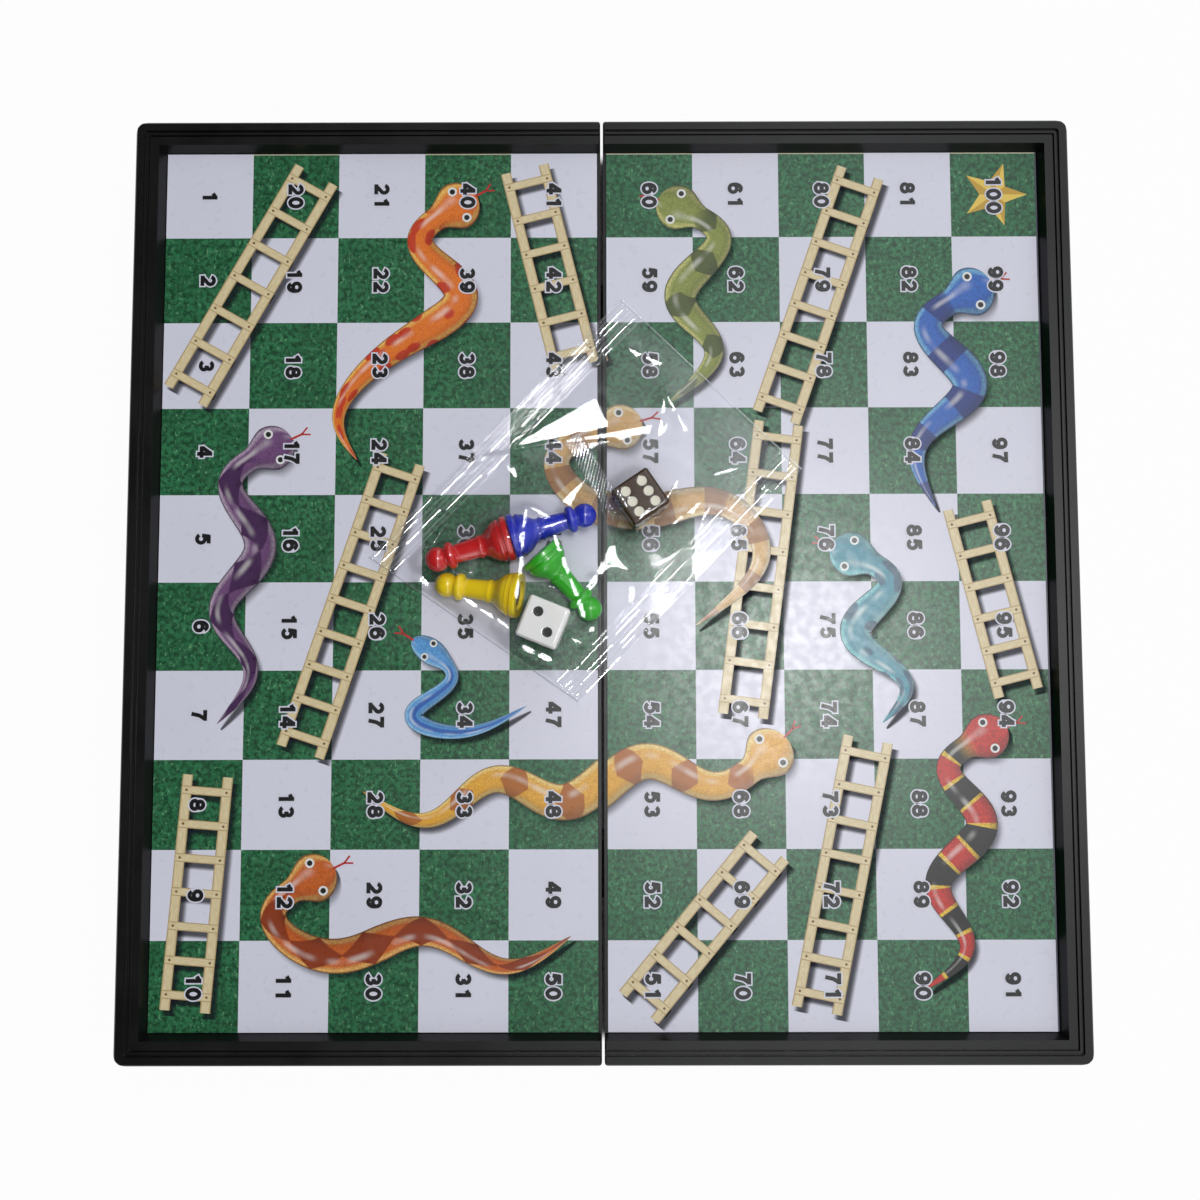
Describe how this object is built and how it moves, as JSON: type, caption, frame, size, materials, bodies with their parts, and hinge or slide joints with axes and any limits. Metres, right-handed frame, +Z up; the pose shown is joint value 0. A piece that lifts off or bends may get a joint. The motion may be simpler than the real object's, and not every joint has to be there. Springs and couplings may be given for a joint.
{
  "type": "folding snakes and ladders board",
  "caption": "Square folding game case, opened flat, with a numbered chequered play sheet sunk in each half and a clear packet of pawns and dice lying on it.",
  "frame": {"origin": "middle of the opened board, on the surface that it stands on", "axes": "+Z up out of the play side, +X from the low numbers to the high ones, +Y along the seam"},
  "size_m": [0.25, 0.248, 0.0307],
  "materials": {
    "case_plastic": "satin black moulded plastic",
    "play_print": "laminated print, green and white squares",
    "plate_steel": "thin tinned steel",
    "pin_steel": "drawn steel wire",
    "link_plastic": "black moulded plastic",
    "ferrite": "dark pressed ferrite",
    "red_plastic": "glossy red moulded plastic",
    "blue_plastic": "glossy blue moulded plastic",
    "green_plastic": "glossy green moulded plastic",
    "yellow_plastic": "glossy yellow moulded plastic",
    "white_plastic": "ivory white moulded plastic",
    "brown_plastic": "dark brown moulded plastic",
    "black_paint": "black spot paint",
    "white_paint": "white spot paint",
    "clear_film": "clear crisp plastic film"
  },
  "bodies": {
    "left_half": {"left_case": "case_plastic", "left_steel_plate": "plate_steel", "left_play_sheet": "play_print", "left_hinge_pins": "pin_steel", "left_closure_magnets": "ferrite"},
    "hinge_links": {"top_hinge_link": "link_plastic", "bottom_hinge_link": "link_plastic"},
    "right_half": {"right_case": "case_plastic", "right_steel_plate": "plate_steel", "right_play_sheet": "play_print", "right_hinge_pins": "pin_steel", "right_closure_magnets": "ferrite"},
    "packet": {"packet_back_film": "clear_film", "packet_front_film": "clear_film"},
    "red_piece": {"red_pawn": "red_plastic", "red_pawn_magnet": "ferrite"},
    "blue_piece": {"blue_pawn": "blue_plastic", "blue_pawn_magnet": "ferrite"},
    "green_piece": {"green_pawn": "green_plastic", "green_pawn_magnet": "ferrite"},
    "yellow_piece": {"yellow_pawn": "yellow_plastic", "yellow_pawn_magnet": "ferrite"},
    "white_die_piece": {"white_die": "white_plastic", "white_die_pips": "black_paint"},
    "brown_die_piece": {"brown_die": "brown_plastic", "brown_die_pips": "white_paint"}
  },
  "joints": [
    {"name": "link_fold", "type": "hinge", "parent": "left_half", "child": "hinge_links", "pos_m": [-0.00305, 0, 0.003], "axis": [0, 1, 0], "range_deg": [0, 90]},
    {"name": "board_fold", "type": "hinge", "parent": "hinge_links", "child": "right_half", "pos_m": [0.00305, 0, 0.003], "axis": [0, 1, 0], "range_deg": [0, 90]},
    {"name": "packet_lift", "type": "slide", "parent": "left_half", "child": "packet", "axis": [0, 0, 1], "range_m": [0, 0.06]},
    {"name": "red_lift", "type": "slide", "parent": "left_half", "child": "red_piece", "axis": [0, 0, 1], "range_m": [0, 0.06]},
    {"name": "blue_lift", "type": "slide", "parent": "left_half", "child": "blue_piece", "axis": [0, 0, 1], "range_m": [0, 0.06]},
    {"name": "green_lift", "type": "slide", "parent": "left_half", "child": "green_piece", "axis": [0, 0, 1], "range_m": [0, 0.06]},
    {"name": "yellow_lift", "type": "slide", "parent": "left_half", "child": "yellow_piece", "axis": [0, 0, 1], "range_m": [0, 0.06]},
    {"name": "white_die_lift", "type": "slide", "parent": "left_half", "child": "white_die_piece", "axis": [0, 0, 1], "range_m": [0, 0.06]},
    {"name": "brown_die_lift", "type": "slide", "parent": "left_half", "child": "brown_die_piece", "axis": [0, 0, 1], "range_m": [0, 0.06]}
  ],
  "couplings": [
    {"joint": "link_fold", "follows": "board_fold", "ratio": 1},
    {"joint": "red_lift", "follows": "packet_lift", "ratio": 1},
    {"joint": "blue_lift", "follows": "packet_lift", "ratio": 1},
    {"joint": "green_lift", "follows": "packet_lift", "ratio": 1},
    {"joint": "yellow_lift", "follows": "packet_lift", "ratio": 1},
    {"joint": "white_die_lift", "follows": "packet_lift", "ratio": 1},
    {"joint": "brown_die_lift", "follows": "packet_lift", "ratio": 1}
  ]
}
